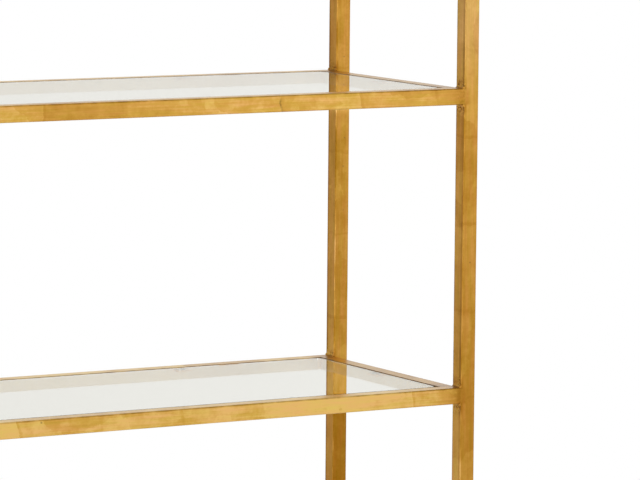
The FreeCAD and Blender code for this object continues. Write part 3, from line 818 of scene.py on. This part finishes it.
class ETAGERE_OT_screw_in_feet(bpy.types.Operator):
    """Models one threaded stem and one pad, and screws a copy of each into every post"""

    bl_idname = "etagere.screw_in_feet"
    bl_label = "Screw in the feet"

    def execute(self, context):
        foot = context.scene.etagere_foot
        steel, nylon = zinc_plated_steel(foot), moulded_nylon(foot)
        dress([f"threaded_insert_{c}" for c in CORNERS], nylon)
        stem, pad = self.threaded_stem(foot), self.foot_pad()
        for made, name, material, slot, node, body in (
            (stem, "threaded_stem", steel, "zinc_steel", "leveller_stem", "foot_stem"),
            (pad, "moulded_pad", nylon, "black_nylon", "leveller_pad", "foot_pad"),
        ):
            for corner, (side_x, side_y) in CORNERS.items():
                piece = made.copy()
                piece.data = made.data.copy()
                context.collection.objects.link(piece)
                piece.location = (side_x * POST_X, side_y * POST_Y, 0)
                settle(piece, f"{name}_{corner}", material, f"{body}_{corner}")
                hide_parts(f"{node}_{corner}")
            bpy.data.objects.remove(made)
        return {"FINISHED"}

    def threaded_stem(self, foot):
        """A rolled thread, cut square at both ends, with a chamfered hexagon and a shank under it."""
        low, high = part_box("leveller_stem_front_right")
        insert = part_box("threaded_insert_front_right")[0].z
        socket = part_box("leveller_pad_front_right")[1].z
        pitch, depth = foot.thread_pitch, foot.thread_depth
        radius = 4.0 * MM
        root, middle = radius - depth, insert - 1.5 * pitch
        nearly_touching = 0.01 * MM

        # One pitch of the thread's outline, wound up past both ends and cut off there.
        plane, cylinder = bpy.ops.mesh.primitive_plane_add, bpy.ops.mesh.primitive_cylinder_add
        place = (root + pitch / 2, 0, middle)
        thread = start_from(plane, size=pitch, rotation=(math.pi / 2, 0, 0), location=place)
        bpy.ops.mesh.delete(type="ONLY_FACE")
        pick(thread, "VERT", lambda item, at: at.x > root + 0.1 * MM)
        bpy.ops.mesh.delete(type="VERT")
        pick(thread, "EDGE", lambda item, at: True)
        bpy.ops.mesh.subdivide(number_cuts=7)
        pick(thread, "VERT", lambda item, at: abs(at.z - middle) < 0.15 * pitch)
        bpy.ops.transform.translate(value=(depth, 0, 0))
        pick(thread, "VERT", lambda item, at: 0.2 * pitch < abs(at.z - middle) < 0.3 * pitch)
        bpy.ops.transform.translate(value=(depth * 0.45, 0, 0))
        turns = math.ceil((high.z - insert) / pitch) + 4
        wound = {"axis": "Z", "angle": 2 * math.pi, "screw_offset": pitch, "iterations": turns}
        merged = {"use_merge_vertices": True, "merge_threshold": nearly_touching}
        apply_modifier(thread, "SCREW", steps=20, render_steps=20, **wound, **merged)
        bpy.ops.object.mode_set(mode="EDIT")
        bpy.ops.mesh.select_all(action="SELECT")
        bpy.ops.mesh.remove_doubles(threshold=nearly_touching)
        bpy.ops.mesh.bisect(plane_co=(0, 0, insert), plane_no=(0, 0, 1), use_fill=True, clear_inner=True)
        bpy.ops.mesh.select_all(action="SELECT")
        bpy.ops.mesh.bisect(plane_co=(0, 0, high.z), plane_no=(0, 0, 1), use_fill=True, clear_outer=True)
        turn_outwards()

        # The hexagon, between the pad's socket and the insert.
        across, height = (high.x - low.x) / 2, insert - socket
        place = (0, 0, socket + height / 2)
        hexagon = start_from(cylinder, vertices=6, radius=across, depth=height, location=place)
        pick(hexagon, "FACE", lambda item, at: abs(item.normal.z) > 0.9)
        bpy.ops.mesh.bevel(offset=0.6 * MM, segments=2, affect="EDGES")

        # The plain shank through it, down into the pad.
        across, height = radius * 0.82, insert - low.z
        place = (0, 0, low.z + height / 2)
        core = start_from(cylinder, vertices=32, radius=across, depth=height, location=place)
        pick(core, "FACE", lambda item, at: item.normal.z < -0.9)
        bpy.ops.mesh.bevel(offset=0.5 * MM, segments=2, affect="EDGES")

        select_only(thread, hexagon, core)
        bpy.ops.object.join()
        bpy.ops.object.shade_smooth_by_angle(angle=math.radians(35))
        return thread

    def foot_pad(self):
        """A moulded pad: a flat sole, a rounded rim, a coned shoulder and a rounded top round the stem."""
        low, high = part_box("leveller_pad_front_right")
        radius, height = (high.x - low.x) / 2, high.z - low.z
        rim, shrink, hair = height / 3, 0.77, 0.1 * MM

        def on_shoulder(item, at):
            """The top's outer edge."""
            return at.z > height * 0.95 and math.hypot(at.x, at.y) > radius * 0.68

        def on_rim(item, at):
            """The rim's upper and lower edges."""
            return math.hypot(at.x, at.y) > radius * 0.98 and not hair <= at.z <= rim - hair

        cylinder = bpy.ops.mesh.primitive_cylinder_add
        pad = start_from(cylinder, vertices=64, radius=radius, depth=rim, location=(0, 0, height / 6))
        pick(pad, "FACE", lambda item, at: item.normal.z > 0.9)
        bpy.ops.mesh.inset(thickness=0.9 * MM, depth=0)
        bpy.ops.mesh.extrude_region_move(TRANSFORM_OT_translate={"value": (0, 0, height * 2 / 3)})
        bpy.ops.transform.resize(value=(shrink, shrink, 1), center_override=(0, 0, height))
        bpy.ops.mesh.inset(thickness=0.8 * MM, depth=0)
        pick(pad, "EDGE", on_shoulder)
        bpy.ops.mesh.bevel(offset=0.4 * MM, segments=3, affect="EDGES")
        pick(pad, "EDGE", on_rim)
        bpy.ops.mesh.bevel(offset=0.35 * MM, segments=3, affect="EDGES")
        turn_outwards()
        bpy.ops.object.shade_smooth_by_angle(angle=math.radians(35))
        return pad


class ETAGERE_OT_set_stage(bpy.types.Operator):
    """Sets the floor, the lights, the world and the camera"""

    bl_idname = "etagere.set_stage"
    bl_label = "Set the stage"

    def execute(self, context):
        scene = context.scene
        stage = scene.etagere_stage
        scene.view_settings.view_transform = "Standard"
        self.floor(stage)
        self.world(scene)
        self.softboxes(stage)
        self.camera(scene)
        return {"FINISHED"}

    def floor(self, stage):
        """A round pale floor that fades into the white background, and is clear from below."""
        select_only()
        radius, fade_from, fade_to = 5.0, 1.3, 3.6
        bpy.ops.mesh.primitive_circle_add(vertices=96, radius=radius, fill_type="NGON", location=(0, 0, 0))
        floor = bpy.context.object
        floor.name = "studio_floor"
        material, put, where = new_material("painted_studio_floor")
        out = put("VectorMath.LENGTH", where).outputs["Value"]
        fade = put(SMOOTH, out, fade_from, fade_to)
        path = put("LightPath")
        seen = put("Math.MULTIPLY", fade, path.outputs["Is Camera Ray"])
        paint = put("BsdfDiffuse", rgba(stage.floor))
        white = put("Emission", WHITE, 1)
        mixed = put("MixShader", seen, paint, white)
        below = put("NewGeometry").outputs["Backfacing"]
        put("OutputMaterial", put("MixShader", below, mixed, put("BsdfTransparent")))
        floor.data.materials.append(material)

    def world(self, scene):
        """White to the camera, even grey to dull surfaces, and a pale room to metal and glass.

        The room is dimmer on the left, and has a dark band under its ceiling.
        """
        world = bpy.data.worlds.new("pale_studio")
        scene.world = world
        put = open_tree(world)
        x, _, z = put("SeparateXYZ", put("TexCoord").outputs["Generated"]).outputs
        # From the left of the room to the right, and from its floor to its ceiling.
        walls = (
            (0.0, (0.84, 0.83, 0.79)),
            (0.1, (0.66, 0.63, 0.55)),
            (0.25, (0.64, 0.6, 0.5)),
            (0.5, (0.8, 0.77, 0.7)),
            (0.75, (0.93, 0.917, 0.88)),
            (1.0, (0.78, 0.77, 0.74)),
        )
        heights = (
            (0.0, (0.76, 0.75, 0.72)),
            (0.42, (0.82, 0.82, 0.81)),
            (0.56, (1, 1, 1)),
            (0.66, (0.92, 0.92, 0.92)),
            (0.76, (0.26, 0.25, 0.24)),
            (0.84, (0.4, 0.4, 0.4)),
            (0.93, (0.9, 0.9, 0.9)),
        )
        across = put("ValToRGB", put("MapRange", x, -1, 1), stops=walls)
        upward = put("ValToRGB", put("MapRange", z, -1, 1), stops=heights)
        room = put("Mix.RGBA", 1, across, upward, blend_type="MULTIPLY")
        path = put("LightPath")
        shiny = put("Math.MAXIMUM", path.outputs["Is Glossy Ray"], path.outputs["Is Transmission Ray"])
        level = put("Mix.RGBA", shiny, rgba((0.7, 0.7, 0.7)), room)
        level = put("Mix.RGBA", path.outputs["Is Camera Ray"], level, WHITE)
        put("OutputWorld", put("Background", level, 1))

    def softboxes(self, stage):
        """A tall key softbox on the left, a weak fill on the right and a soft top light."""
        middle = Vector((0, 0, 1.1))
        for name, place, size, power in (
            ("key_softbox", (-3.4, -4.4, 2.4), (1.82, 2.91), stage.key_power * 0.88),
            ("front_softbox", (2.2, -3.2, 1.9), (1.94, 1.45), stage.key_power * 0.03),
            ("top_softbox", (0.6, -1.0, 4.6), (2.91, 2.91), stage.key_power * 0.32),
        ):
            light = bpy.data.lights.new(name, "AREA")
            light.shape = "RECTANGLE"
            light.size, light.size_y = size
            light.energy = power
            self.feather(light)
            lamp = bpy.data.objects.new(name, light)
            lamp.location = place
            lamp.rotation_euler = (middle - Vector(place)).to_track_quat("-Z", "Y").to_euler()
            lamp.visible_camera = False
            bpy.context.collection.objects.link(lamp)

    def feather(self, light):
        """Dims a softbox towards its edges, so that the panes don't mirror it with a hard outline."""
        put = open_tree(light)
        across, along, _ = put("SeparateXYZ", put("NewGeometry").outputs["Parametric"]).outputs
        dimmed_share, glow = 0.18, 1.0
        for place in (across, along):
            to_edge = put("Math.PINGPONG", place, 0.5)
            to_edge = put(SMOOTH, to_edge, 0, dimmed_share)
            glow = put("Math.MULTIPLY", glow, to_edge)
        put("OutputLight", put("Emission", WHITE, glow))

    def camera(self, scene):
        """A long lens on the front left, a little above the shelves."""
        place, focal_length, sensor = Vector((-3.15504, -6.13387, 2.08675)), 254.67, 36.0
        azimuth, pitch, roll = math.radians(30.088), math.radians(6.4725), math.radians(-0.5044)
        over_ground = math.cos(pitch)
        forward = Vector((math.sin(azimuth) * over_ground, math.cos(azimuth) * over_ground, -math.sin(pitch)))
        level = Vector((math.cos(azimuth), -math.sin(azimuth), 0))
        down = forward.cross(level)
        right = level * math.cos(roll) + down * math.sin(roll)
        up = level * math.sin(roll) - down * math.cos(roll)
        data = bpy.data.cameras.new("long_lens")
        data.sensor_fit = "HORIZONTAL"
        data.sensor_width, data.lens = sensor, focal_length
        data.clip_start, data.clip_end = 0.1, 60.0
        camera = bpy.data.objects.new("camera", data)
        turned = Matrix((right, up, -forward)).transposed().to_4x4()
        camera.matrix_world = Matrix.Translation(place) @ turned
        bpy.context.collection.objects.link(camera)
        scene.camera = camera


class ETAGERE_PT_panel(bpy.types.Panel):
    """Lists the etagere's settings and steps"""

    bl_idname = "ETAGERE_PT_panel"
    bl_label = "Etagere"
    bl_space_type = "VIEW_3D"
    bl_region_type = "UI"
    bl_category = "Etagere"

    def draw(self, context):
        for group in SETTINGS:
            box = self.layout.box()
            box.label(text=group.removeprefix("etagere_").title())
            held = getattr(context.scene, group)
            for prop in held.bl_rna.properties:
                if prop.identifier not in ("rna_type", "name"):
                    box.prop(held, prop.identifier)
        for step in STEPS:
            self.layout.operator(step.bl_idname)


SETTINGS = {
    "etagere_leaf": LeafSettings,
    "etagere_glass": GlassSettings,
    "etagere_weld": WeldSettings,
    "etagere_foot": FootSettings,
    "etagere_stage": StageSettings,
}
STEPS = (
    ETAGERE_OT_gild_tubes,
    ETAGERE_OT_lay_beads,
    ETAGERE_OT_glaze_shelves,
    ETAGERE_OT_screw_in_feet,
    ETAGERE_OT_set_stage,
)


def register():
    for kept, group in SETTINGS.items():
        bpy.utils.register_class(group)
        setattr(bpy.types.Scene, kept, bpy.props.PointerProperty(type=group))
    for made in (*STEPS, ETAGERE_PT_panel):
        bpy.utils.register_class(made)


def unregister():
    for made in (ETAGERE_PT_panel, *reversed(STEPS)):
        bpy.utils.unregister_class(made)
    for kept, group in SETTINGS.items():
        delattr(bpy.types.Scene, kept)
        bpy.utils.unregister_class(group)


def main():
    register()
    bpy.ops.etagere.gild_tubes()
    bpy.ops.etagere.lay_beads()
    bpy.ops.etagere.glaze_shelves()
    bpy.ops.etagere.screw_in_feet()
    bpy.ops.etagere.set_stage()


if __name__ == "__main__":
    main()
